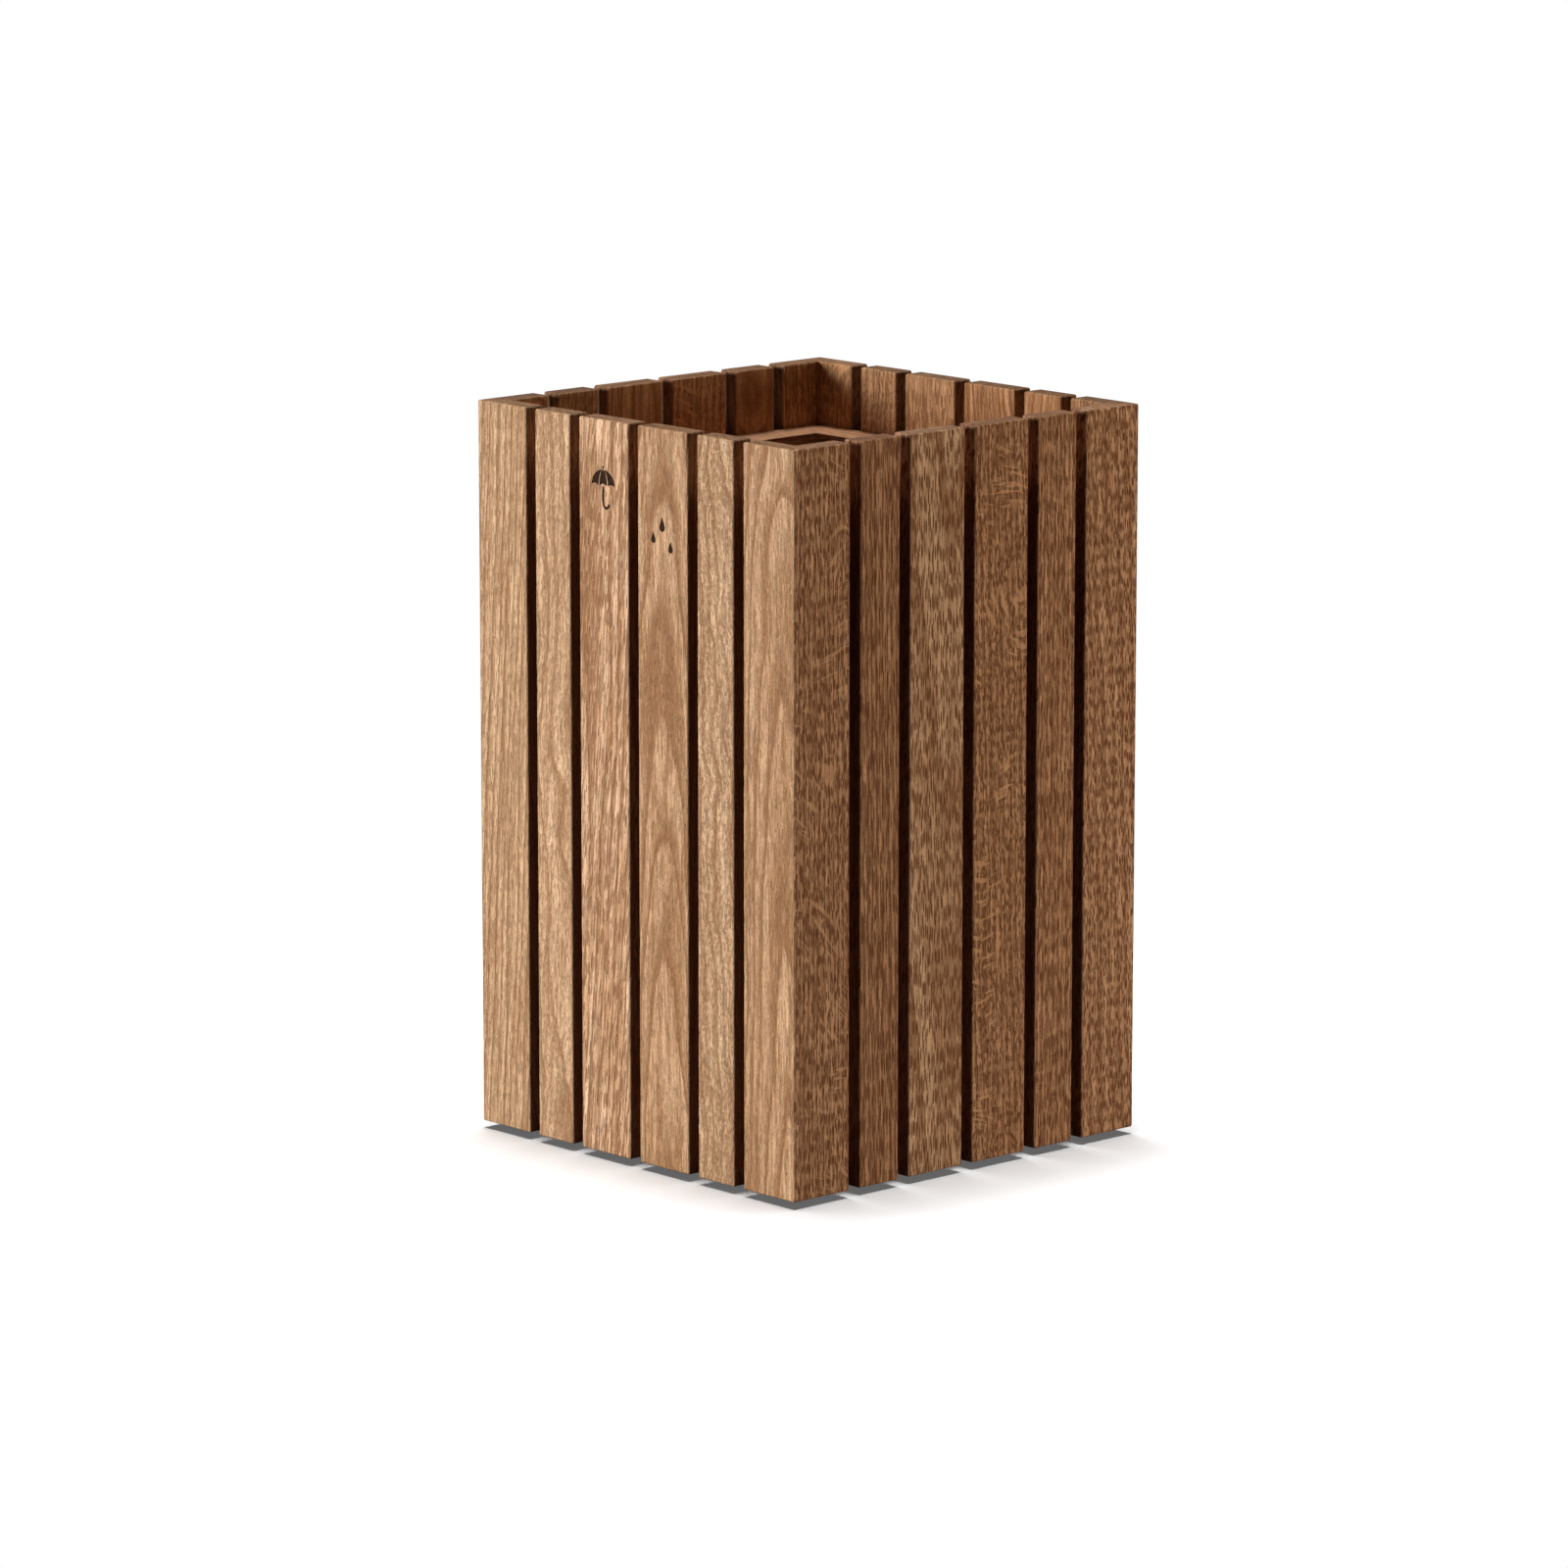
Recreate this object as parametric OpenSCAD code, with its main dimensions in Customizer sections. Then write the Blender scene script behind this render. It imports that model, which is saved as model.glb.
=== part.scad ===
// Square umbrella stand: upright oak slats fixed round two mitred inner frames, on a base
// panel with four feet, with a drip tray that lifts out through the upper frame.
// The origin is at the bottom centre, +Z is up and the front faces -Y. All sizes are in mm.

/* [Stand] */
// Outside width and depth
stand_w = 250; // [230:5:300]
// Height from the floor to the tops of the slats
stand_h = 400; // [300:10:600]
// Clear height between the floor and the slats
floor_gap = 4; // [2:0.5:6]

/* [Slats] */
// Thickness of every slat
slat_t = 13; // [12:0.5:16]
// Width of the narrow slats, the second and the fifth on each side
narrow_slat_w = 28.5; // [25:0.5:31]
// Gap between neighbouring slats
slat_gap = 7; // [5:0.5:9]
// Radius of the eased edges
edge_r = 1.5; // [0.5:0.5:2.5]

/* [Inner frames] */
// Width of a rail, from the slats to the opening
rail_w = 23; // [21:0.5:27]
// Thickness of a rail, upwards
rail_t = 18; // [16:1:22]
// Depth of the upper frame's top face below the tops of the slats
top_frame_drop = 35.5; // [20:0.5:80]

/* [Base] */
// Height of a foot
foot_h = 6; // [5:0.5:8]
// Diameter of a foot
foot_d = 22; // [18:1:22]
// Thickness of the base panel
panel_t = 6; // [4:0.5:9]
// Clearance between the base panel's edges and the slats
panel_clearance = 1; // [0.5:0.5:3]

/* [Drip tray] */
// Clearance round the tray's lip as it passes through the upper frame
tray_clearance = 2; // [1:0.5:5]
// Height of the tray
tray_h = 34; // [24:1:60]
// Width of the lip folded outwards round the top of the tray
tray_lip = 3; // [2:0.5:5]
// Thickness of the tray's sheet steel
tray_sheet = 1; // [0.8:0.1:1.5]
// Outside radius of the tray's corners
tray_r = 6; // [4:1:12]

/* [Fasteners] */
// Diameter of every screw's shank
screw_d = 3.5; // [3:0.5:4]
// Diameter of every screw's head
head_d = 7; // [6:0.5:8]
// Height of a pan head
head_h = 2.2; // [2:0.1:2.5]
// Length of a slat screw under its head
slat_screw_len = 28; // [24:1:29]
// Length of a panel screw
panel_screw_len = 16; // [12:1:18]
// Length of a foot screw under its head
foot_screw_len = 20; // [14:1:20]
// Diameter of the dowels that fix the corner slats
dowel_d = 6; // [5:0.5:7]
// Length of those dowels
dowel_len = 19; // [17:1:19]
// Length of the biscuits inside the frames' mitres
biscuit_len = 24; // [20:1:26]
// Thickness of the biscuits
biscuit_t = 3; // [2:0.5:4]

/* [Hidden] */
SIDES = ["front", "right", "back", "left"];
LEVELS = ["bottom", "top"];
CORNERS = ["front_left", "front_right", "back_right", "back_left"];
SLATS_PER_SIDE = 6;

// Facets of a round thing; anything over 12 is a true circle
$fn = 48;
// How far a cutter reaches past the face that it starts from
past = 1;
// Radial clearance of every fastener in its hole
fit = 0.05;
// Spare depth past the end of a fastener in its hole
spare_depth = 0.5;
// Diameter of a screw's blunt point
point_d = 0.6;

oak = [0.66, 0.50, 0.36];
frame_oak = [0.56, 0.38, 0.26];
plywood = [0.74, 0.62, 0.46];
beech = [0.80, 0.66, 0.48];
black_rubber = [0.10, 0.10, 0.10];
yellow_zinc = [0.72, 0.64, 0.42];
dark_coating = [0.16, 0.16, 0.17];

// Slats, counted from the left as seen from outside; the first and the last are mitred
last_slat = SLATS_PER_SIDE - 1;
wide_slat_w = (stand_w - 2 * narrow_slat_w - last_slat * slat_gap) / 4;
slat_widths = [wide_slat_w, narrow_slat_w, wide_slat_w, wide_slat_w, narrow_slat_w, wide_slat_w];
slat_h = stand_h - floor_gap;
mitre_spare = 2 * edge_r;

// Inner frames
frame_w = stand_w - 2 * slat_t;
opening_w = frame_w - 2 * rail_w;
rail_mid = (frame_w + opening_w) / 4;
bottom_frame_z = foot_h + panel_t;
top_frame_z = stand_h - top_frame_drop - rail_t;
frame_z = [bottom_frame_z, top_frame_z];

// Heights within a rail: the dowels lie low, the slat screws half way up, the biscuits high
dowel_rise = rail_t / 3;
screw_rise = rail_t / 2;
biscuit_rise = rail_t * 0.67;

// Slat screws sit in counterbores in the rails' inner faces
counterbore_d = head_d + 1;
counterbore_depth = 5;
seat_y = -(opening_w / 2 + counterbore_depth);

// Dowels stand off the corner far enough for the two at one corner to miss each other
dowel_x = frame_w / 2 - 17;
dowel_in_rail = 11;
biscuit_w = biscuit_len / 2;

// Panel screws stand between the slat screws; foot screws stand clear of the mitres
panel_screw_x = (slat_mid(1) + slat_mid(2)) / 2;
foot_x = frame_w / 2 - 26;
foot_y = rail_mid;
foot_edge_r = 1;
foot_recess = 2.7;

// Drip tray
tray_lip_w = opening_w - 2 * tray_clearance;
tray_w = tray_lip_w - 2 * tray_lip;
tray_lip_r = tray_r + tray_lip;

function slat_name(side, i) = str(SIDES[side], "_slat_", i + 1);
function rail_name(level, side) = str(LEVELS[level], "_frame_", SIDES[side]);
function level_name(name, level) = str(name, "_", LEVELS[level]);
function foot_name(corner) = str("foot_", CORNERS[corner]);
function sum_first(list, n) = n == 0 ? 0 : list[n - 1] + sum_first(list, n - 1);
function slat_left(i) = -stand_w / 2 + sum_first(slat_widths, i) + i * slat_gap;
function slat_mid(i) = slat_left(i) + slat_widths[i] / 2;
function is_corner(i) = i == 0 || i == last_slat;

// A rectangle from the origin with all four corners rounded
module eased_outline(a, b, r) {
    translate([r, 0]) square([a - 2 * r, b]);
    translate([0, r]) square([a, b - 2 * r]);
    for (x = [r, a - r], y = [r, b - r]) translate([x, y]) circle(r = r);
}

module centred_outline(w, r) {
    translate([-w / 2, -w / 2]) eased_outline(w, w, r);
}

// An upright board from the origin with every edge eased
module eased_board(w, t, h) {
    intersection() {
        linear_extrude(h) eased_outline(w, t, edge_r);
        translate([0, t, 0]) rotate([90, 0, 0]) linear_extrude(t) eased_outline(w, h, edge_r);
        rotate([90, 0, 90]) linear_extrude(w) eased_outline(t, h, edge_r);
    }
}

// The front quarter of the stand, cut off along both diagonals
module front_quarter() {
    linear_extrude(stand_h + past) intersection() {
        polygon([[0, 0], [-stand_w / 2, -stand_w / 2], [stand_w / 2, -stand_w / 2]]);
        centred_outline(stand_w, edge_r);
    }
}

module on_side(side) {
    rotate([0, 0, 90 * side]) children();
}

// Puts a thing that points along +Z at a height, pointing out through the front
module outwards(x, y, z) {
    translate([x, y, z]) rotate([90, 0, 0]) children();
}

// Screws point up, with the underside of the head at z = 0
module pan_screw(len) {
    tip = screw_d;
    difference() {
        union() {
            cylinder(d = screw_d, h = len - tip);
            translate([0, 0, len - tip]) cylinder(d1 = screw_d, d2 = point_d, h = tip);
            translate([0, 0, -head_h]) cylinder(d1 = head_d - 1, d2 = head_d, h = head_h / 2);
            translate([0, 0, -head_h / 2]) cylinder(d = head_d, h = head_h / 2);
        }
        drive_socket(-head_h);
    }
}

// The outer face of a countersunk head is at z = 0
module countersunk_screw(len) {
    tip = screw_d;
    sink = (head_d - screw_d) / 2;
    difference() {
        union() {
            cylinder(d1 = head_d, d2 = screw_d, h = sink);
            translate([0, 0, sink]) cylinder(d = screw_d, h = len - sink - tip);
            translate([0, 0, len - tip]) cylinder(d1 = screw_d, d2 = point_d, h = tip);
        }
        drive_socket(0);
    }
}

// Hexagonal drive socket cut into a head whose outer face is at height z
module drive_socket(z) {
    socket_d = head_d / 2;
    socket_depth = 1.2;
    translate([0, 0, z - past]) cylinder(d = socket_d, h = socket_depth + past, $fn = 6);
}

module screw_hole(len) {
    translate([0, 0, -past]) cylinder(d = screw_d + 2 * fit, h = len + past);
}

// Cutter for a slat screw: the counterbore and the hole through the rail into the slat
module slat_screw_hole() {
    screw_hole(slat_screw_len + spare_depth);
    translate([0, 0, -counterbore_depth - past]) cylinder(d = counterbore_d, h = counterbore_depth + past);
}

module at_slat_screws(level) {
    for (i = [1:last_slat - 1]) outwards(slat_mid(i), seat_y, frame_z[level] + screw_rise) children();
}

module at_dowels(level) {
    for (x = [-dowel_x, dowel_x])
        outwards(x, -frame_w / 2 + dowel_in_rail, frame_z[level] + dowel_rise) children();
}

// Lens-shaped biscuit lying flat, with its length along the mitre at the rail's left end
module biscuit(level, slack) {
    arc_r = (pow(biscuit_len / 2, 2) + pow(biscuit_w / 2, 2)) / biscuit_w + slack;
    arc_offset = arc_r - biscuit_w / 2 - slack;
    translate([-rail_mid, -rail_mid, frame_z[level] + biscuit_rise])
        rotate([0, 0, 45])
            linear_extrude(biscuit_t) intersection_for(offset_y = [-arc_offset, arc_offset])
                translate([0, offset_y]) circle(r = arc_r);
}

// Slat i of the front side, without its holes; the corner slats are cut to the mitre
module slat_board(i) {
    left_spare = i == 0 ? mitre_spare : 0;
    spare = is_corner(i) ? mitre_spare : 0;
    translate([slat_left(i) - left_spare, -stand_w / 2, floor_gap])
        eased_board(slat_widths[i] + spare, slat_t, slat_h);
}

module slat(side, i) {
    color(oak) on_side(side) difference() {
        if (is_corner(i)) intersection() {
            slat_board(i);
            front_quarter();
        }
        else slat_board(i);
        for (level = [0:1]) {
            if (is_corner(i)) at_dowels(level) cylinder(d = dowel_d + 2 * fit, h = dowel_len);
            else at_slat_screws(level) screw_hole(slat_screw_len + spare_depth);
        }
    }
}

// One mitred rail; the bottom ones also take the panel screws and the foot screws
module rail(level, side) {
    outer = frame_w / 2;
    inner = opening_w / 2;
    color(frame_oak) on_side(side) difference() {
        translate([0, 0, frame_z[level]]) linear_extrude(rail_t)
            polygon([[-outer, -outer], [outer, -outer], [inner, -inner], [-inner, -inner]]);
        at_slat_screws(level) slat_screw_hole();
        at_dowels(level) translate([0, 0, -spare_depth]) cylinder(d = dowel_d + 2 * fit, h = dowel_len);
        biscuit(level, fit);
        rotate([0, 0, 90]) biscuit(level, fit);
        if (level == 0) {
            at_panel_screws() screw_hole(panel_screw_len + spare_depth);
            if (side % 2 == 0) at_foot_screws() screw_hole(foot_screw_len + spare_depth);
        }
    }
}

module slat_screws(level) {
    color(yellow_zinc) for (side = [0:3]) on_side(side)
        at_slat_screws(level) pan_screw(slat_screw_len);
}

module corner_dowels(level) {
    color(beech) for (side = [0:3]) on_side(side) at_dowels(level) cylinder(d = dowel_d, h = dowel_len);
}

module mitre_biscuits(level) {
    color(beech) for (side = [0:3]) on_side(side) biscuit(level, 0);
}

module at_panel_screws() {
    for (x = [-panel_screw_x, panel_screw_x]) translate([x, -rail_mid, foot_h]) children();
}

module at_foot_screws() {
    for (x = [-foot_x, foot_x]) translate([x, -foot_y, foot_recess]) children();
}

module base_panel() {
    panel_w = frame_w - 2 * panel_clearance;
    sink = (head_d - screw_d) / 2;
    color(plywood) difference() {
        translate([0, 0, foot_h]) linear_extrude(panel_t) square(panel_w, center = true);
        for (side = [0:3]) on_side(side) at_panel_screws() {
            screw_hole(panel_t + past);
            cylinder(d1 = head_d + 2 * fit, d2 = screw_d + 2 * fit, h = sink);
        }
        for (side = [0, 2]) on_side(side) at_foot_screws() screw_hole(foot_h + panel_t);
    }
}

module panel_screws() {
    color(yellow_zinc) for (side = [0:3]) on_side(side)
        at_panel_screws() countersunk_screw(panel_screw_len);
}

module foot_screws() {
    color(yellow_zinc) for (side = [0, 2]) on_side(side) at_foot_screws() pan_screw(foot_screw_len);
}

// A round foot with a softened lower edge and a recess for its screw's head
module foot(corner) {
    x = corner == 0 || corner == 3 ? -foot_x : foot_x;
    y = corner < 2 ? -foot_y : foot_y;
    color(black_rubber) translate([x, y, 0]) difference() {
        rotate_extrude() {
            square([foot_d / 2 - foot_edge_r, foot_h]);
            translate([0, foot_edge_r]) square([foot_d / 2, foot_h - foot_edge_r]);
            translate([foot_d / 2 - foot_edge_r, foot_edge_r]) circle(r = foot_edge_r);
        }
        translate([0, 0, -past]) cylinder(d = counterbore_d, h = foot_recess + past);
        cylinder(d = screw_d + 2 * fit, h = foot_h + past);
    }
}

// A shallow folded tray with a lip round its top edge; it stands on the base panel
module drip_tray() {
    inside_w = tray_w - 2 * tray_sheet;
    color(dark_coating) translate([0, 0, bottom_frame_z]) difference() {
        union() {
            linear_extrude(tray_h) centred_outline(tray_w, tray_r);
            translate([0, 0, tray_h - tray_sheet]) linear_extrude(tray_sheet)
                centred_outline(tray_lip_w, tray_lip_r);
        }
        translate([0, 0, tray_sheet]) linear_extrude(tray_h) centred_outline(inside_w, tray_r - tray_sheet);
    }
}

for (side = [0:3], i = [0:last_slat])
    slat(side, i);
for (level = [0:1], side = [0:3])
    rail(level, side);
for (level = [0:1]) {
    slat_screws(level);
    corner_dowels(level);
    mitre_biscuits(level);
}
for (corner = [0:3]) foot(corner);
base_panel();
panel_screws();
foot_screws();
drip_tray();
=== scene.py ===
"""Looks of the slatted oak umbrella stand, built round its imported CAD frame. Metres, +Z up."""

import math
import random
from collections import namedtuple

import bmesh
import bpy
from mathutils import Matrix, Vector, noise


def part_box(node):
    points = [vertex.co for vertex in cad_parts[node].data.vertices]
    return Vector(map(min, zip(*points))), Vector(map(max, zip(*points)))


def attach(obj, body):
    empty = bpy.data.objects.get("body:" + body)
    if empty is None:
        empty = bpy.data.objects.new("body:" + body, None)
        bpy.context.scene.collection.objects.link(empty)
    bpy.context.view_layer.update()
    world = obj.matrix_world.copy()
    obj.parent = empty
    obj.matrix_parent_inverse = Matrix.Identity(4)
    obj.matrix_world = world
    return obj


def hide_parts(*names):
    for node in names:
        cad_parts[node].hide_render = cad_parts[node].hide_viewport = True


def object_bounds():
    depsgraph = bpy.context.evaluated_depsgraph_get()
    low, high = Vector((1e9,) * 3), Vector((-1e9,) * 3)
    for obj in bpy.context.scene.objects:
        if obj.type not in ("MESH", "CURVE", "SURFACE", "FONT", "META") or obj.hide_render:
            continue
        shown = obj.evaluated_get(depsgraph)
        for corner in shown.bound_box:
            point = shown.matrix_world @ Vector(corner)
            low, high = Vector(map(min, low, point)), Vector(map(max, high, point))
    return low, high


MM = 0.001
SIDES = ("front", "right", "back", "left")
SLATS_PER_SIDE = 6
QUARTER = math.pi / 2

# ------------------------------------------------------------------ shader nodes


class Nodes:
    """Short names for the shader nodes of one material. A value may be a number or a socket."""

    def __init__(self, name):
        self.material = bpy.data.materials.new(name)
        self.material.use_nodes = True
        self.tree = self.material.node_tree
        self.tree.nodes.clear()

    def add(self, kind, inputs=(), **settings):
        node = self.tree.nodes.new(kind)
        for key, value in settings.items():
            setattr(node, key, value)
        for key, value in dict(inputs).items():
            self.put(value, node.inputs[key])
        return node

    def put(self, value, socket):
        if isinstance(value, bpy.types.NodeSocket):
            self.tree.links.new(value, socket)
        else:
            socket.default_value = value

    def math(self, operation, *values):
        node = self.add("ShaderNodeMath", operation=operation)
        for i, value in enumerate(values):
            self.put(value, node.inputs[i])
        return node.outputs[0]

    def vector(self, operation, *values):
        node = self.add("ShaderNodeVectorMath", operation=operation)
        for i, value in enumerate(values):
            self.put(value, node.inputs[i])
        return node.outputs["Value" if operation == "LENGTH" else "Vector"]

    def xyz(self, x, y, z):
        return self.add("ShaderNodeCombineXYZ", {"X": x, "Y": y, "Z": z}).outputs[0]

    def split(self, vector):
        return self.add("ShaderNodeSeparateXYZ", {0: vector}).outputs

    def noise(self, vector, detail=2.0, roughness=0.5, colour=False):
        node = self.add("ShaderNodeTexNoise", {
            "Vector": vector, "Scale": 1.0, "Detail": detail, "Roughness": roughness})
        return node.outputs["Color" if colour else "Fac"]

    def cells(self, vector, randomness=1.0, flat=False):
        """Scattered points: the distance to the nearest, and a random number for each."""
        node = self.add("ShaderNodeTexVoronoi", {
            "Vector": vector, "Scale": 1.0, "Randomness": randomness},
            voronoi_dimensions="2D" if flat else "3D")
        return node.outputs["Distance"], self.split(node.outputs["Color"])[0]

    def ramp(self, value, low, high, start=0.0, end=1.0, kind="SMOOTHSTEP"):
        node = self.add("ShaderNodeMapRange", {
            "Value": value, "From Min": low, "From Max": high, "To Min": start, "To Max": end},
            interpolation_type=kind)
        return node.outputs["Result"]

    def scaled(self, value, size, shift=0.0):
        """A length in mm counted in sizes, plus a shift."""
        return self.math("MULTIPLY_ADD", value, 1 / size, shift)

    def band(self, value, rise_start, rise_end, fall_start, fall_end):
        """1 between a rise and a fall, 0 outside them."""
        return self.math("MULTIPLY", self.ramp(value, rise_start, rise_end),
                         self.ramp(value, fall_start, fall_end, 1.0, 0.0))

    def mix(self, factor, a, b, blend="MIX"):
        node = self.add("ShaderNodeMix", data_type="RGBA", blend_type=blend)
        self.put(factor, node.inputs["Factor"])
        self.put(a, node.inputs[6])
        self.put(b, node.inputs[7])
        return node.outputs[2]

    def attribute(self, name):
        return self.add("ShaderNodeAttribute", attribute_name=name).outputs["Fac"]

    def place(self, *sizes):
        """A point's place on its piece, counted in sizes given in mm, one for all axes or one for each."""
        sizes = sizes * 3 if len(sizes) == 1 else sizes
        coordinates = self.add("ShaderNodeTexCoord").outputs["Object"]
        return self.vector("DIVIDE", coordinates, [size * MM for size in sizes])

    def bump(self, height, distance, strength=1.0):
        node = self.add("ShaderNodeBump", {"Height": height, "Distance": distance, "Strength": strength})
        return node.outputs["Normal"]

    def surface(self, colour, roughness, normal=None, **constants):
        shader = self.add("ShaderNodeBsdfPrincipled", {"Base Color": colour, "Roughness": roughness})
        for key, value in constants.items():
            shader.inputs[key.replace("_", " ").title().replace("Ior", "IOR")].default_value = value
        if normal is not None:
            self.put(normal, shader.inputs["Normal"])
        self.add("ShaderNodeOutputMaterial", {"Surface": shader.outputs[0]})
        return self.material


def rgb(red, green, blue):
    return (red, green, blue, 1.0)


# ------------------------------------------------------------------ oak

# How a board was cut from its log and how its grain looks. Lengths are in mm.
#   pith    centre of the log from the middle of the outer face: across, and into the board
#   lean    drift of the pith for each mm of height, across and into the board
#   ring    distance between growth rings
#   wave    size and length of the grain's waves
#   streak  strength of the brown streaks
#   pores   strength, length, width and share of the pore dashes
#   rays    strength of the pale ray flecks
#   colour  mean colour
Cut = namedtuple("Cut", "pith lean ring wave streak pores rays colour")

# A point's place in the grain, in mm: across the board, into it, and along it
Grain = namedtuple("Grain", "u v length")

# The faces that look inwards begin this deep in a board, in mm, and get a painted warm bounce light that
# makes them a little browner
INNER_FACE = 12.0
INNER_BOUNCE_TINT = (1.14, 1.02, 0.84, 1.0)

# Heights in mm between which the painted shade on the sides of a gap weakens towards the top
SHADE_TOP = (355.0, 385.0)

# Width in mm of the grain's waves
WAVE_WIDTH = 38.0


def tint(colour, red, green, blue):
    return rgb(min(1, colour[0] * red), min(1, colour[1] * green), min(1, colour[2] * blue))


def bent_grain(n, cut, across, depth, length, seed):
    """The grain's coordinates, bent by its waves and by the lean of the log."""
    wave_size, wave_length = cut.wave
    wander = n.noise(n.xyz(n.scaled(across, WAVE_WIDTH), n.scaled(depth, WAVE_WIDTH),
                           n.scaled(length, wave_length, seed)), detail=1.5, colour=True)
    bent = []
    for value, drift, lean in zip((across, depth), n.split(wander), cut.lean):
        value = n.math("MULTIPLY_ADD", n.math("SUBTRACT", drift, 0.5), 2 * wave_size, value)
        bent.append(n.math("MULTIPLY_ADD", length, lean, value))
    return Grain(bent[0], bent[1], length)


def stretched_noise(n, grain, width, length, seed=0.0, detail=3.0, roughness=0.5):
    """Noise whose marks lie along the grain. Width and length in mm."""
    return n.noise(n.xyz(n.scaled(grain.u, width), n.scaled(grain.v, width),
                         n.scaled(grain.length, length, seed)), detail=detail, roughness=roughness)


def growth_rings(n, cut, grain, seed):
    """The open earlywood of each ring, which fades into latewood, and the line where the ring begins."""
    from_pith = n.xyz(n.math("SUBTRACT", grain.u, cut.pith[0]), n.math("SUBTRACT", grain.v, cut.pith[1]), 0.0)
    radius = n.vector("LENGTH", from_pith)
    uneven = n.noise(n.xyz(n.scaled(radius, 7.0), seed, n.scaled(grain.length, 180.0)), detail=1.0)
    rings = n.math("MULTIPLY_ADD", uneven, 1.6, n.scaled(radius, cut.ring))
    phase = n.math("FRACT", rings)
    return n.band(phase, 0.0, 0.12, 0.15, 0.62), n.band(phase, 0.0, 0.06, 0.12, 0.30)


def pore_dashes(n, cut, grain, early, seed):
    """Short dashes along the grain, crowded in the earlywood, with finer ones between them."""
    _, pore_length, pore_width, share = cut.pores
    # the scattered points lie on a slanted sheet, so that the dashes change with the depth too
    slanted_u = n.math("MULTIPLY_ADD", grain.v, 0.4, grain.u)
    slanted_length = n.math("MULTIPLY_ADD", grain.v, 0.9, grain.length)
    sheet = n.xyz(n.scaled(slanted_u, pore_width, seed), n.scaled(slanted_length, pore_length), 0.0)
    nearest, chance = n.cells(sheet, 0.75, flat=True)
    wanted = n.math("MULTIPLY_ADD", early, 0.35, n.math("ADD", chance, share - 0.5))
    radius = n.ramp(wanted, 0.10, 1.0, 0.0, 0.30)
    dash = n.ramp(n.math("SUBTRACT", radius, nearest), -0.08, 0.06)
    fine_noise = n.noise(n.xyz(n.scaled(grain.u, 1.0, seed), n.scaled(grain.v, 1.0),
                               n.scaled(grain.length, 1.5 * pore_length)), detail=3.0, roughness=0.62)
    fine = n.ramp(n.math("MULTIPLY_ADD", early, 0.07, fine_noise), 0.50, 0.62, 0.0, 0.95 - 0.5 * share)
    return n.math("MAXIMUM", dash, fine)


def ray_flecks(n, cut, grain, seed):
    """Medullary rays: pale curved ribbons that lie across the grain, in some zones of the board."""
    drift = n.noise(n.xyz(n.scaled(grain.u, 42.0), seed, n.scaled(grain.length, 60.0)), detail=0.0)
    curl = n.math("MULTIPLY_ADD", n.math("SUBTRACT", drift, 0.5), 60.0, n.math("MULTIPLY", grain.u, 0.40))
    ribbon = n.noise(n.xyz(n.scaled(grain.u, 16.0, seed), n.scaled(grain.v, 2.5),
                           n.scaled(n.math("ADD", grain.length, curl), 3.4)), detail=1.0)
    zone = n.noise(n.xyz(n.scaled(grain.u, 30.0), seed, n.scaled(grain.length, 42.0)), detail=0.0)
    return n.math("MULTIPLY", n.ramp(ribbon, 0.54, 0.64), n.ramp(zone, 0.46, 0.62, 0.0, cut.rays))


def streaked_tone(n, cut, grain, early, ring_line, seed):
    """The wood's own colour, without its pores: clouds, streaks and ring lines round the mean colour."""
    base = rgb(*cut.colour)
    brown = tint(cut.colour, 0.72, 0.60, 0.48)
    pale = tint(cut.colour, 1.20, 1.24, 1.26)
    rosy = tint(cut.colour, 1.04, 0.93, 0.92)
    ring_brown = tint(cut.colour, 0.62, 0.48, 0.36)
    cloud = stretched_noise(n, grain, 15.0, 70.0, seed + 3.0, detail=2.0)
    streak = stretched_noise(n, grain, 3.6, 110.0, seed, roughness=0.70)
    tone = n.mix(n.ramp(cloud, 0.35, 0.68), pale, base)
    tone = n.mix(n.ramp(streak, 0.30, 0.52, 0.0, 0.5 * cut.streak), tone, rosy)
    tone = n.mix(n.ramp(streak, 0.42, 0.62, 0.0, min(1.0, cut.streak)), tone, brown)
    tone = n.mix(n.math("MULTIPLY", early, 0.62 * cut.streak + 0.03), tone, brown)
    return n.mix(n.math("MULTIPLY", ring_line, 0.75 * cut.streak), tone, ring_brown)


def inside_tone(n, cut, tone, depth, length):
    """Paints shade on an upright board's sides, which look across a gap, and paints warm bounce light on its
    inner face, which makes it a little browner.
    """
    # painted shade on the sides that look across a gap, weaker near the top where light gets in
    shade = n.ramp(length, *SHADE_TOP, 0.80, 0.40)
    gap_shade_strength = n.math("MULTIPLY", n.attribute("painted_gap_shade"), shade)
    tone = n.mix(gap_shade_strength, tone, tint(cut.colour, 0.20, 0.08, 0.04))
    # painted warm bounce light: the inner face is tinted redder
    inner = n.mix(1.0, tone, INNER_BOUNCE_TINT, blend="MULTIPLY")
    return n.mix(n.ramp(depth, INNER_FACE, INNER_FACE + 0.8, kind="LINEAR"), tone, inner)


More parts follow.
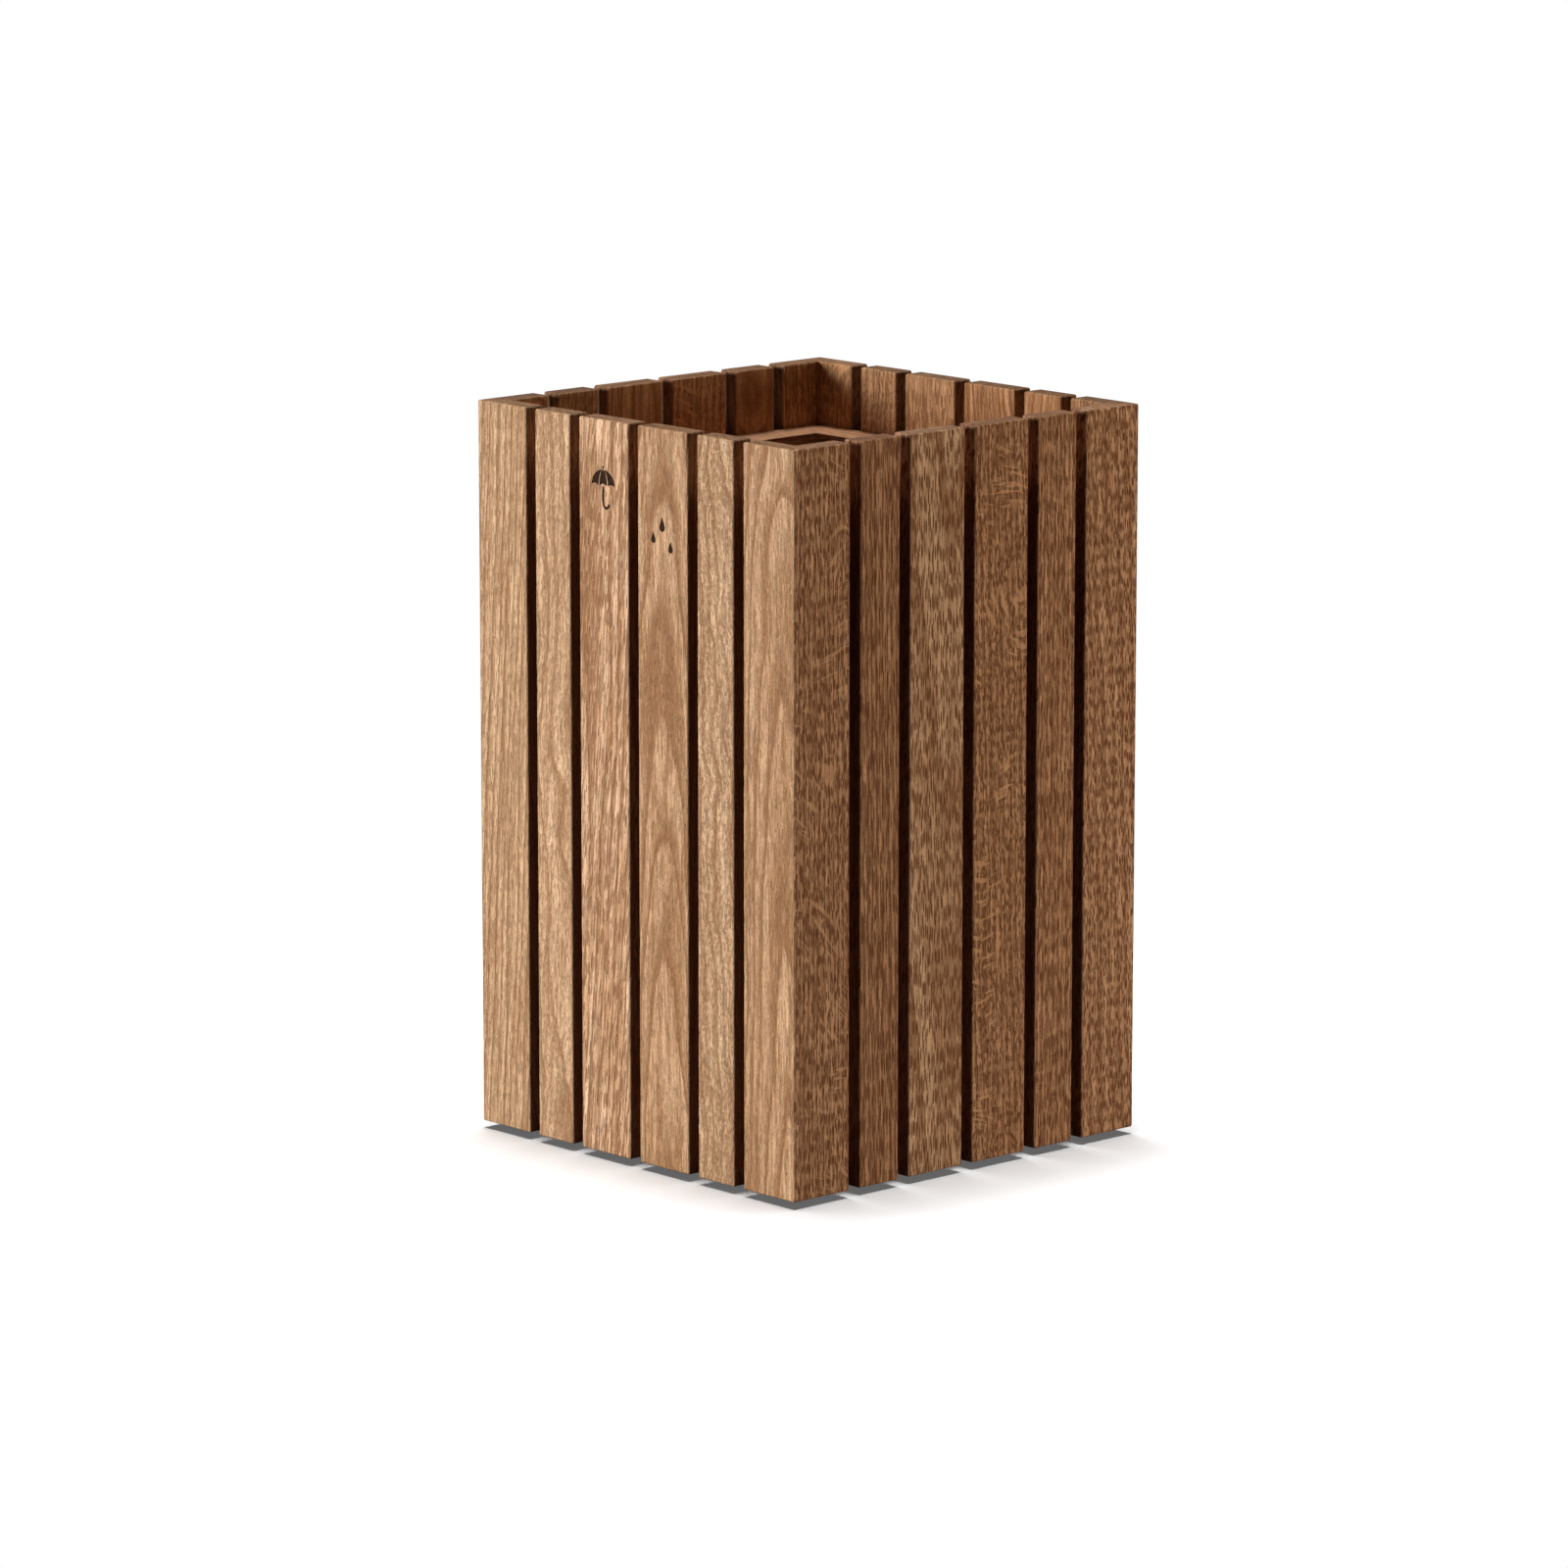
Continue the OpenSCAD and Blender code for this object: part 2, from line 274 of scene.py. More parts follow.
def oak(name, cut, side, origin, seed, along="z", smooth=0.0):
    """Oiled oak as a solid: growth rings, pores, streaks and rays run through the whole board.
    Origin is the middle of the outer face at the foot of the board, seen from its own side, in mm.
    Smooth is 0 for sawn and brushed wood and 1 for finely sanded wood."""
    n = Nodes(name)
    on_board = n.add("ShaderNodeMapping", {
        "Vector": n.place(1), "Rotation": (0, 0, -side * QUARTER),
        "Location": [-value for value in origin]}).outputs[0]
    x, y, z = n.split(on_board)
    across, depth, length = (x, y, z) if along == "z" else (z, y, x)
    strength = cut.pores[0]
    roughness_left = 1 - 0.6 * smooth

    grain = bent_grain(n, cut, across, depth, length, seed)
    early, ring_line = growth_rings(n, cut, grain, seed)
    ray = ray_flecks(n, cut, grain, seed)
    # a ray closes the pores that it crosses
    open_pore = n.math("MULTIPLY", pore_dashes(n, cut, grain, early, seed),
                       n.math("SUBTRACT", 1.0, n.math("MULTIPLY", ray, 0.8)))
    fibre = stretched_noise(n, grain, 0.9, 40.0, seed, roughness=0.65)
    speckle = stretched_noise(n, grain, 0.7, 1.4, detail=1.0)

    tone = streaked_tone(n, cut, grain, early, ring_line, seed)
    contrast = 0.85 * roughness_left
    shade = n.math("MULTIPLY_ADD", fibre, contrast, 1.07 - 0.5 * contrast)
    shade = n.math("MULTIPLY_ADD", n.math("SUBTRACT", speckle, 0.5), 0.9 * roughness_left, shade)
    tone = n.mix(1.0, tone, n.xyz(shade, shade, shade), blend="MULTIPLY")
    tone = n.mix(n.math("MULTIPLY", ray, 0.55), tone, tint(cut.colour, 1.40, 1.42, 1.40))
    dark = tint(cut.colour, 0.34, 0.19, 0.09)
    tone = n.mix(n.math("MULTIPLY", open_pore, strength), tone, dark)
    tone = n.mix(n.math("MULTIPLY", n.attribute("end_grain"), 0.45), tone, dark)
    # painted highlight: the eased edges are made paler, as where they catch the light
    painted_highlight = tint(cut.colour, 1.20, 1.24, 1.26)
    tone = n.mix(n.math("MULTIPLY", n.attribute("edge_wear_and_highlight"), 0.16), tone, painted_highlight)
    if along == "z":
        tone = inside_tone(n, cut, tone, depth, length)

    roughness = n.ramp(n.math("ADD", open_pore, fibre), 0.2, 1.6, 0.46, 0.72, kind="LINEAR")
    relief = n.math("MULTIPLY_ADD", open_pore, -0.4 - strength, n.math("MULTIPLY", fibre, 0.35))
    relief = n.math("MULTIPLY_ADD", early, -0.35, relief)
    normal = n.bump(relief, 0.50 * MM * roughness_left)
    return n.surface(tone, roughness, normal, specular_ior_level=0.28)


# ------------------------------------------------------------------ other materials


def plywood(name, low, high, plies):
    """Birch plywood lying flat: veneer with fine grain on its faces, glued plies at its edges."""
    n = Nodes(name)
    _, _, up = n.split(n.add("ShaderNodeTexCoord").outputs["Normal"])
    on_face = n.ramp(n.math("ABSOLUTE", up), 0.4, 0.8)
    grain = n.noise(n.place(60.0, 3.0, 3.0), detail=4.0, roughness=0.62)
    fibre = n.noise(n.place(9.0, 0.5, 1.0))
    veneer = n.mix(n.ramp(grain, 0.3, 0.7), rgb(0.72, 0.53, 0.33), rgb(0.55, 0.37, 0.21))
    veneer = n.mix(n.ramp(fibre, 0.52, 0.75, 0.0, 0.45), veneer, rgb(0.38, 0.24, 0.13))

    _, _, height = n.split(n.place(1))
    ply = n.math("MULTIPLY", n.math("SUBTRACT", height, low / MM), plies / ((high - low) / MM))
    crosswise = n.math("MODULO", n.math("FLOOR", ply), 2.0)
    speckle = n.noise(n.place(0.8, 0.8, 0.25))
    layers = n.mix(crosswise, rgb(0.60, 0.43, 0.26), rgb(0.36, 0.23, 0.12))
    layers = n.mix(n.ramp(speckle, 0.4, 0.7, 0.0, 0.5), layers, rgb(0.24, 0.14, 0.07))
    from_middle = n.math("ABSOLUTE", n.math("SUBTRACT", n.math("FRACT", ply), 0.5))
    glue = n.ramp(from_middle, 0.42, 0.49, 0.0, 0.6)
    layers = n.mix(glue, layers, rgb(0.13, 0.07, 0.035))

    relief = n.math("ADD", grain, n.math("MULTIPLY", fibre, 0.6))
    return n.surface(n.mix(on_face, layers, veneer), n.ramp(fibre, 0.3, 0.7, 0.48, 0.66),
                     n.bump(relief, 0.12 * MM), specular_ior_level=0.3)


def beech(name):
    """Compressed beech: pinkish wood with short dark flecks."""
    n = Nodes(name)
    fleck, chance = n.cells(n.place(0.7))
    flecks = n.math("MULTIPLY", n.ramp(fleck, 0.15, 0.40, 1.0, 0.0), n.ramp(chance, 0.5, 0.9))
    grain = n.noise(n.place(3.0, 3.0, 1.1), detail=3.0)
    colour = n.mix(n.ramp(grain, 0.3, 0.7), rgb(0.66, 0.44, 0.27), rgb(0.53, 0.32, 0.18))
    colour = n.mix(n.math("MULTIPLY", flecks, 0.55), colour, rgb(0.30, 0.15, 0.07))
    relief = n.math("SUBTRACT", grain, flecks)
    return n.surface(colour, n.ramp(grain, 0.3, 0.7, 0.50, 0.68), n.bump(relief, 0.10 * MM))


def zinc(name):
    """Yellow zinc plating: a warm metal with a faint rainbow, small scratches and dull patches."""
    n = Nodes(name)
    patch = n.noise(n.place(2.86), detail=3.0)
    scratch = n.noise(n.place(0.143, 0.77, 0.2), detail=3.0, roughness=0.7)
    colour = n.mix(n.ramp(patch, 0.35, 0.5), rgb(0.80, 0.66, 0.36), rgb(0.83, 0.70, 0.45))
    colour = n.mix(n.ramp(patch, 0.5, 0.62, 0.0, 0.5), colour, rgb(0.72, 0.58, 0.48))
    roughness = n.ramp(n.math("ADD", patch, scratch), 0.7, 1.3, 0.22, 0.48)
    return n.surface(colour, roughness, n.bump(scratch, 0.03 * MM), metallic=1.0)


def rubber(name):
    """Black moulded rubber with a fine matt texture and a little dust."""
    n = Nodes(name)
    texture = n.noise(n.place(0.286))
    dust = n.noise(n.place(2.5), detail=4.0, roughness=0.65)
    colour = n.mix(n.ramp(dust, 0.45, 0.75), rgb(0.018, 0.018, 0.019), rgb(0.060, 0.057, 0.052))
    return n.surface(colour, n.ramp(texture, 0.3, 0.7, 0.58, 0.80), n.bump(texture, 0.08 * MM))


def powder_coat(name):
    """Dark grey powder coat on folded steel: orange peel, fine metallic grain and rubbed edges."""
    n = Nodes(name)
    peel = n.noise(n.place(1.11), roughness=0.4)
    fleck, chance = n.cells(n.place(0.455))
    fine = n.math("MULTIPLY", n.ramp(fleck, 0.1, 0.3, 1.0, 0.0), n.ramp(chance, 0.75, 0.95))
    marks = n.noise(n.place(14.3, 14.3, 10.0), detail=4.0)
    colour = n.mix(n.ramp(marks, 0.4, 0.7), rgb(0.033, 0.033, 0.035), rgb(0.046, 0.045, 0.045))
    colour = n.mix(n.math("MULTIPLY", fine, 0.5), colour, rgb(0.13, 0.13, 0.13))
    rub = n.math("MULTIPLY", n.attribute("edge_wear_and_highlight"), n.ramp(marks, 0.42, 0.60))
    colour = n.mix(n.math("MULTIPLY", rub, 0.6), colour, rgb(0.22, 0.215, 0.21))
    roughness = n.math("ADD", n.ramp(marks, 0.3, 0.7, 0.34, 0.50), n.math("MULTIPLY", rub, -0.08))
    return n.surface(colour, roughness, n.bump(peel, 0.10 * MM), specular_ior_level=0.5)


def burnt(name):
    """Charred wood at the bottom of a burnt-in sign."""
    n = Nodes(name)
    char = n.noise(n.place(0.333, 0.333, 1.25), detail=3.0, roughness=0.6)
    colour = n.mix(n.ramp(char, 0.35, 0.7), rgb(0.018, 0.008, 0.004), rgb(0.065, 0.029, 0.014))
    return n.surface(colour, n.ramp(char, 0.3, 0.7, 0.75, 0.92), n.bump(char, 0.10 * MM),
                     specular_ior_level=0.1)


# ------------------------------------------------------------------ board meshes

SLAT_EASE = 1.5 * MM
END_EASE = 1.1 * MM
MITRE_EASE = 1.2 * MM
EASE_STEPS = 4
BOARD_STEP = 3 * MM
WEAR_DEPTH = 0.28 * MM
DENTS_PER_METRE = 260


def arc(centre, radius, start, end, steps=5):
    """Points of an arc about centre, from start to end in degrees."""
    points = []
    for i in range(steps + 1):
        angle = math.radians(start + (end - start) * i / steps)
        points.append(Vector((centre[0] + radius * math.cos(angle), centre[1] + radius * math.sin(angle))))
    return points


def board_outline(left, right, front, back, ease, mitre=None):
    """Outline of a slat seen from above, anticlockwise, as (points, fixed).
    fixed holds the number of the edge that lies in the mitre, which an end's easing leaves alone."""
    free_right = (arc((right - ease, front + ease), ease, -90, 0)
                  + arc((right - ease, back - ease), ease, 0, 90))
    free_left = (arc((left + ease, back - ease), ease, 90, 180)
                 + arc((left + ease, front + ease), ease, 180, 270))
    thickness = back - front
    if mitre == "left":
        tip = arc((left + MITRE_EASE, front + MITRE_EASE), MITRE_EASE, -135, -90, 3)
        points = tip + free_right + [Vector((left + thickness, back))]
        return points, len(points) - 1
    if mitre == "right":
        tip = arc((right - MITRE_EASE, front + MITRE_EASE), MITRE_EASE, -90, -45, 3)
        points = free_left + tip + [Vector((right - thickness, back))]
        return points, len(points) - 2
    return free_left + free_right, None


def inset(points, amount, fixed=None):
    """The outline moved inwards by amount, except its fixed edge."""
    count = len(points)
    normals = []
    for i in range(count):
        edge = points[(i + 1) % count] - points[i]
        normals.append(Vector((edge.y, -edge.x)).normalized())
    moved = []
    for i, point in enumerate(points):
        before, after = normals[i - 1], normals[i]
        d_before = 0.0 if (i - 1) % count == fixed else amount
        d_after = 0.0 if i == fixed else amount
        cross = before.x * after.y - before.y * after.x
        if abs(cross) < 1e-4:
            moved.append(point - after * d_after)
            continue
        # the point whose distance behind both edges' lines is the wanted one
        x = (-d_before * after.y + d_after * before.y) / cross
        y = (-d_after * before.x + d_before * after.x) / cross
        moved.append(point + Vector((x, y)))
    return moved


def corner_weights(points):
    """1 along each eased edge, 0 where it meets a flat face."""
    longest_step = 2 * MM
    weights = []
    for i, point in enumerate(points):
        before = (point - points[i - 1]).length
        after = (points[(i + 1) % len(points)] - point).length
        weights.append(1.0 if max(before, after) < longest_step else 0.0)
    return weights


def side_weights(points, fixed):
    """1 on the faces that look across a gap, 0 on the outer, inner and mitred faces."""
    ends = [min(point.x for point in points), max(point.x for point in points)]
    if fixed is not None:
        ends.remove(min(ends, key=lambda end: abs(points[fixed].x - end)))
    return [1.0 if any(abs(point.x - end) < 0.3 * MM for end in ends) else 0.0 for point in points]


def board_sections(bottom, top):
    """Heights up a board, each with how far its outline is drawn in there by the eased ends."""
    eased = []
    for i in range(EASE_STEPS):
        angle = QUARTER * i / EASE_STEPS
        eased.append((END_EASE * (1 - math.cos(angle)), END_EASE * (1 - math.sin(angle))))
    straight = top - bottom - 2 * END_EASE
    count = max(2, round(straight / BOARD_STEP))
    sections = [(bottom + rise, amount) for rise, amount in eased]
    sections += [(bottom + END_EASE + straight * i / count, 0.0) for i in range(count + 1)]
    sections += [(top - rise, amount) for rise, amount in reversed(eased)]
    return sections


def dent(point, height, seed):
    """How far a worn edge is pressed in at a point."""
    place = Vector((point.x * DENTS_PER_METRE + seed * 7.1, point.y * DENTS_PER_METRE,
                    height * DENTS_PER_METRE))
    return WEAR_DEPTH * max(0.0, noise.noise(place) + 0.25 * noise.noise(place * 3.1))


def skin(mesh, rows, close_start=True, close_end=True):
    """Smooth faces between rings of points, and over the first and the last ring."""
    for lower, upper in zip(rows, rows[1:]):
        for i in range(len(lower)):
            j = (i + 1) % len(lower)
            mesh.faces.new((lower[i], lower[j], upper[j], upper[i])).smooth = True
    if close_start:
        mesh.faces.new(list(reversed(rows[0]))).smooth = True
    if close_end:
        mesh.faces.new(rows[-1]).smooth = True


def mesh_object(name, mesh):
    """Makes an object of the bmesh, with its place in its mesh."""
    mesh.normal_update()
    data = bpy.data.meshes.new(name)
    mesh.to_mesh(data)
    mesh.free()
    thing = bpy.data.objects.new(name, data)
    bpy.context.scene.collection.objects.link(thing)
    return thing


def board(name, outline, fixed, bottom, top, seed):
    """An upright board lofted from its outline, with eased ends and slightly uneven edges."""
    mesh = bmesh.new()
    end_layer = mesh.verts.layers.float.new("end_grain")
    # marks the eased edges, where the oak paints a highlight
    highlight_layer = mesh.verts.layers.float.new("edge_wear_and_highlight")
    # marks the faces that look across a gap, where the oak paints shade
    gap_shade_layer = mesh.verts.layers.float.new("painted_gap_shade")
    corners = corner_weights(outline)
    sides = side_weights(outline, fixed)
    middle = sum(outline, Vector((0, 0))) / len(outline)
    rows = []
    for height, amount in board_sections(bottom, top):
        at_end = amount / END_EASE
        at_edge = 0.0 if at_end > 0.9 else min(1.0, 2 * at_end)
        row = []
        for i, point in enumerate(inset(outline, amount, fixed) if amount > 0 else outline):
            pressed = point + (middle - point).normalized() * corners[i] * dent(point, height, seed)
            vert = mesh.verts.new((pressed.x, pressed.y, height))
            vert[end_layer] = min(1.0, 1.1 * at_end)
            vert[highlight_layer] = max(corners[i], at_edge)
            vert[gap_shade_layer] = sides[i]
            row.append(vert)
        rows.append(row)
    skin(mesh, rows)
    return mesh_object(name, mesh)


def even_normals(thing):
    modifier = thing.modifiers.new("even_normals", "WEIGHTED_NORMAL")
    modifier.keep_sharp = True
    modifier.weight = 90


def finish_piece(thing, material, body, slot, *nodes):
    thing.data.materials.clear()
    thing.data.materials.append(material)
    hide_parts(*nodes)
    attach(thing, body)
    return thing


def side_box(node, side):
    """A node's lowest and highest corners, seen as if its side were the front."""
    low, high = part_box(node)
    back = Matrix.Rotation(-side * QUARTER, 3, "Z")
    a, b = back @ low, back @ high
    return Vector(map(min, a, b)), Vector(map(max, a, b))


# ------------------------------------------------------------------ the object

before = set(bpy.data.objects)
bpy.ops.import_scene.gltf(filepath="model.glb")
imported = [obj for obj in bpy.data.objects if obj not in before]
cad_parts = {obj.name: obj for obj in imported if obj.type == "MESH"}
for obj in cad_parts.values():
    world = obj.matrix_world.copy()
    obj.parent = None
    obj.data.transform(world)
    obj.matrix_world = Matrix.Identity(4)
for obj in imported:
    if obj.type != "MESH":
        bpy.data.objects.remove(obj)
cad_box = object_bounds()
HALF = cad_box[1].x

FRONT_CUTS = (
    Cut((-70, 45), (-0.05, 0.01), 4.4, (2.2, 110), 0.75, (0.44, 9, 1.3, 0.45), 0.0, (0.63, 0.402, 0.224)),
    Cut((14, 60), (-0.04, 0.03), 4.0, (5.0, 48), 0.70, (0.40, 6, 1.1, 0.40), 0.0, (0.65, 0.412, 0.233)),
    Cut((-45, 30), (-0.09, -0.02), 5.0, (1.6, 130), 1.0, (0.75, 14, 1.7, 0.55), 0.0, (0.76, 0.49, 0.295)),
    Cut((3, 26), (0.01, -0.045), 4.2, (2.2, 90), 1.15, (0.30, 9, 1.2, 0.35), 0.0, (0.59, 0.362, 0.195)),
    Cut((30, 48), (0.03, 0.02), 4.0, (5.5, 40), 0.70, (0.48, 4, 1.1, 0.45), 0.0, (0.62, 0.392, 0.220)),
    Cut((16, 24), (0.012, -0.04), 4.2, (2.6, 80), 1.15, (0.30, 9, 1.2, 0.35), 0.0, (0.60, 0.367, 0.197)),
)
RIGHT_CUTS = (
    Cut((230, 10), (0.0, 0.0), 3.4, (1.2, 90), 0.40, (1.0, 9, 1.1, 0.75), 0.9, (0.74, 0.43, 0.245)),
    Cut((-160, 60), (0.01, 0.0), 3.4, (0.8, 140), 0.45, (0.95, 16, 1.1, 0.70), 0.0, (0.66, 0.37, 0.20)),
    Cut((12, 70), (0.005, 0.02), 5.5, (1.0, 130), 0.45, (1.0, 13, 1.25, 0.95), 0.0, (0.88, 0.56, 0.345)),
    Cut((190, -40), (0.03, 0.0), 4.0, (3.0, 70), 0.50, (0.95, 6, 1.1, 0.60), 1.0, (0.72, 0.415, 0.23)),
    Cut((-140, 30), (-0.012, 0.0), 3.4, (1.0, 120), 0.50, (1.0, 12, 1.15, 0.70), 0.35, (0.75, 0.43, 0.24)),
    Cut((60, 120), (0.02, 0.01), 3.0, (1.2, 80), 0.40, (1.0, 8, 1.15, 0.85), 0.0, (0.82, 0.49, 0.285)),
)
RAIL_COLOUR = (0.66, 0.355, 0.19)
RAIL_CUT = Cut((0, 0), (0.01, 0.015), 3.2, (1.6, 90), 0.55, (0.55, 11, 1.1, 0.35), 0.0, RAIL_COLOUR)


def other_cuts(side):
    """The two sides that face away take the same kinds of board in another order and tone."""
    draw = random.Random(40 + side)
    kinds = list(FRONT_CUTS + RIGHT_CUTS)
    draw.shuffle(kinds)
    cuts = []
    for kind in kinds[:SLATS_PER_SIDE]:
        value = draw.uniform(0.92, 1.05)
        red = draw.uniform(0.97, 1.03)
        colour = (0.52 * value * red, 0.312 * value, 0.174 * value / red)
        pores = (0.6 * kind.pores[0],) + kind.pores[1:]
        cuts.append(kind._replace(colour=colour, pores=pores, pith=(-kind.pith[0], kind.pith[1])))
    return cuts


def make_slat(node, side, mitre, cut, seed):
    low, high = side_box(node, side)
    left = -HALF if mitre == "left" else low.x
    right = HALF if mitre == "right" else high.x
    outline, fixed = board_outline(left, right, low.y, high.y, SLAT_EASE, mitre)
    slat = board("oak_" + node, outline, fixed, low.z, high.z, seed)
    slat.data.transform(Matrix.Rotation(side * QUARTER, 4, "Z"))
    origin = ((left + right) / 2 / MM, low.y / MM, 0.0)
    finish_piece(slat, oak("oak_" + node, cut, side, origin, seed), "stand", "slat_oak", node)
    if node in SIGNS:
        burn_in(slat, node)
    even_normals(slat)


def make_slats():
    cuts = (FRONT_CUTS, RIGHT_CUTS, other_cuts(2), other_cuts(3))
    for side, side_name in enumerate(SIDES):
        for i in range(SLATS_PER_SIDE):
            mitre = {0: "left", SLATS_PER_SIDE - 1: "right"}.get(i)
            make_slat(f"{side_name}_slat_{i + 1}", side, mitre, cuts[side][i], 11.0 * side + 1.7 * i + 2.0)


RAIL_EASE = 0.5 * MM
PANEL_EASE = 0.4 * MM
BISCUIT_EASE = 0.3 * MM
PLIES = 5


def keep_node(node, material, ease):
    """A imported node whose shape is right: it gets its material and softened edges."""
    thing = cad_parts[node]
    thing.data.materials.clear()
    thing.data.materials.append(material)
    modifier = thing.modifiers.new("softened_edges", "BEVEL")
    modifier.width = ease
    modifier.segments = 3
    modifier.limit_method = "ANGLE"
    modifier.angle_limit = math.radians(40)
    even_normals(thing)


def make_rails():
    """The mitred rails of both inner frames, with their grain along their length."""
    draw = random.Random(7)
    for level in ("bottom", "top"):
        for side, side_name in enumerate(SIDES):
            node = f"{level}_frame_{side_name}"
            low, _ = side_box(node, side)
            value = draw.uniform(0.94, 1.06)
            pith = (draw.uniform(-60, 60), draw.uniform(60, 110))
            colour = [value * channel for channel in RAIL_COLOUR]
            cut = RAIL_CUT._replace(pith=pith, colour=colour)
            wood = oak("oak_" + node, cut, side, (0.0, low.y / MM, low.z / MM), 50.0 + 9 * side,
                       along="x", smooth=0.5)
            keep_node(node, wood, RAIL_EASE)


# ------------------------------------------------------------------ fasteners and feet

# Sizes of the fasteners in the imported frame
SCREW_RADIUS = 1.75 * MM
HEAD_RADIUS = 3.5 * MM
PAN_HEIGHT = 2.2 * MM
COUNTERBORE_DEPTH = 5 * MM
SLAT_SCREW_LENGTH = 28 * MM
PANEL_SCREW_LENGTH = 16 * MM
FOOT_SCREW_LENGTH = 20 * MM
FOOT_RECESS_RADIUS = 4 * MM
FOOT_RECESS_DEPTH = 2.7 * MM
DOWEL_RADIUS = 3 * MM
DOWEL_LENGTH = 19 * MM
DOWEL_IN_RAIL = 11 * MM
DOWEL_FROM_CORNER = 17 * MM

# Detail of their own
SEGMENTS = 24
CORE_RADIUS = 1.2 * MM
THREAD_PITCH = 1.8 * MM
CREST_WIDTH = 0.44
POINT_RADIUS = 0.12 * MM
DRIVE_DEPTH = 1.3 * MM
PLAIN_SHARE = 0.30
DRIVE_RADII = (1.2 * MM, 1.45 * MM, 1.55 * MM)
LOBE_DEPTH = 0.16
PAN_DOME = 1.4 * MM
PAN_FLAT_RADIUS = 1.95 * MM
HEAD_EASE = 0.15 * MM
DOWEL_CHAMFER = 0.6 * MM
FLUTE_DEPTH = 0.25 * MM
FEET = ("foot_front_left", "foot_front_right", "foot_back_right", "foot_back_left")
FOOT_EASE = 1.0 * MM
FOOT_HOLE_RADIUS = SCREW_RADIUS + 0.05 * MM
TREAD_RADII = (5.2 * MM, 7.2 * MM)
TREAD_DEPTH = 0.6 * MM


def lathe(mesh, rings, matrix, close=True):
    """Adds a turned body to the mesh. Each ring is (height, radius or a function of the angle)."""
    rows = []
    for height, radius in rings:
        row = []
        for i in range(SEGMENTS):
            angle = 2 * math.pi * i / SEGMENTS
            r = radius(angle) if callable(radius) else radius
            row.append(mesh.verts.new(matrix @ Vector((r * math.cos(angle), r * math.sin(angle), height))))
        rows.append(row)
    skin(mesh, rows, close, close)
    return rows


def quarter_turn(steps):
    """Sine and 1 - cosine of angles from 0 to a quarter turn, for rounded profiles."""
    angles = [QUARTER * i / steps for i in range(steps + 1)]
    return [(math.sin(angle), 1 - math.cos(angle)) for angle in angles]


def drive_recess(top):
    """Rings of a six-lobed recess in a head whose face is at a height, from its floor up."""
    def lobes(size):
        return lambda angle: size * (1 + LOBE_DEPTH * math.cos(6 * angle))
    floor_radius, wall_radius, mouth_radius = DRIVE_RADII
    return [(top + DRIVE_DEPTH, lobes(floor_radius)), (top + 0.05 * MM, lobes(wall_radius)),
            (top, lobes(mouth_radius))]


def pan_head():
    """Rings of a domed head that stands below z = 0."""
    top = -PAN_HEIGHT
    rings = drive_recess(top) + [(top + 0.02 * MM, PAN_FLAT_RADIUS)]
    for sine, rise in quarter_turn(5):
        rings.append((top + PAN_DOME * rise, PAN_FLAT_RADIUS + (HEAD_RADIUS - PAN_FLAT_RADIUS) * sine))
    return rings + [(-HEAD_EASE, HEAD_RADIUS), (0.0, HEAD_RADIUS - HEAD_EASE), (0.0, SCREW_RADIUS)]


def sunk_head():
    """Rings of a countersunk head whose face is at z = 0."""
    face_radius = HEAD_RADIUS - 0.1 * MM
    return drive_recess(0.0) + [(0.0, face_radius), (0.1 * MM, face_radius),
                                (HEAD_RADIUS - SCREW_RADIUS, SCREW_RADIUS)]


def threaded(height, depth):
    """Outline of a threaded shank at a height: the crest winds once round for each pitch."""
    def radius(angle):
        turn = (height / THREAD_PITCH - angle / (2 * math.pi)) % 1.0
        crest = max(0.0, 1 - abs(turn - 0.5) / (CREST_WIDTH / 2))
        return CORE_RADIUS * depth + (SCREW_RADIUS - CORE_RADIUS) * depth * crest
    return radius


def screw(mesh, matrix, length, head):
    """A screw that points along +Z, with the rings of its head."""
    neck, _ = head[-1]
    plain = neck + (length - neck) * PLAIN_SHARE
    taper = 2 * SCREW_RADIUS
    steps = round((length - plain) / (THREAD_PITCH / 5))
    rings = head + [(plain, SCREW_RADIUS)]
    for i in range(1, steps):
        height = plain + (length - plain) * i / steps
        depth = min(1.0, (length - height) / taper + 0.12)
        rings.append((height, threaded(height, depth)))
    rings.append((length, POINT_RADIUS))
    lathe(mesh, rings, matrix)


def out_through(side, x, y, z):
    """Places a thing that points along +Z so that it points out through a side of the stand."""
    return (Matrix.Rotation(side * QUARTER, 4, "Z") @ Matrix.Translation((x, y, z))
            @ Matrix.Rotation(QUARTER, 4, "X"))


def slat_middle(i):
    low, high = side_box(f"front_slat_{i + 1}", 0)
    return (low.x + high.x) / 2


def finish_screws(mesh, steel, node):
    even_normals(finish_piece(mesh_object("steel_" + node, mesh), steel, "stand", "screw_steel", node))


def make_slat_screws(steel, level):
    low, high = side_box(f"{level}_frame_front", 0)
    seat = high.y - COUNTERBORE_DEPTH
    mesh = bmesh.new()
    for side in range(len(SIDES)):
        for i in range(1, SLATS_PER_SIDE - 1):
            place = out_through(side, slat_middle(i), seat, (low.z + high.z) / 2)
            screw(mesh, place, SLAT_SCREW_LENGTH, pan_head())
    finish_screws(mesh, steel, f"slat_screws_{level}")


def make_panel_screws(steel):
    rail_low, rail_high = side_box("bottom_frame_front", 0)
    rail_middle = (rail_low.y + rail_high.y) / 2
    panel_low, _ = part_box("base_panel")
    reach = (slat_middle(1) + slat_middle(2)) / 2
    mesh = bmesh.new()
    for side in range(len(SIDES)):
        for x in (-reach, reach):
            place = Matrix.Translation((x, rail_middle, panel_low.z))
            screw(mesh, Matrix.Rotation(side * QUARTER, 4, "Z") @ place, PANEL_SCREW_LENGTH, sunk_head())
    finish_screws(mesh, steel, "panel_screws")


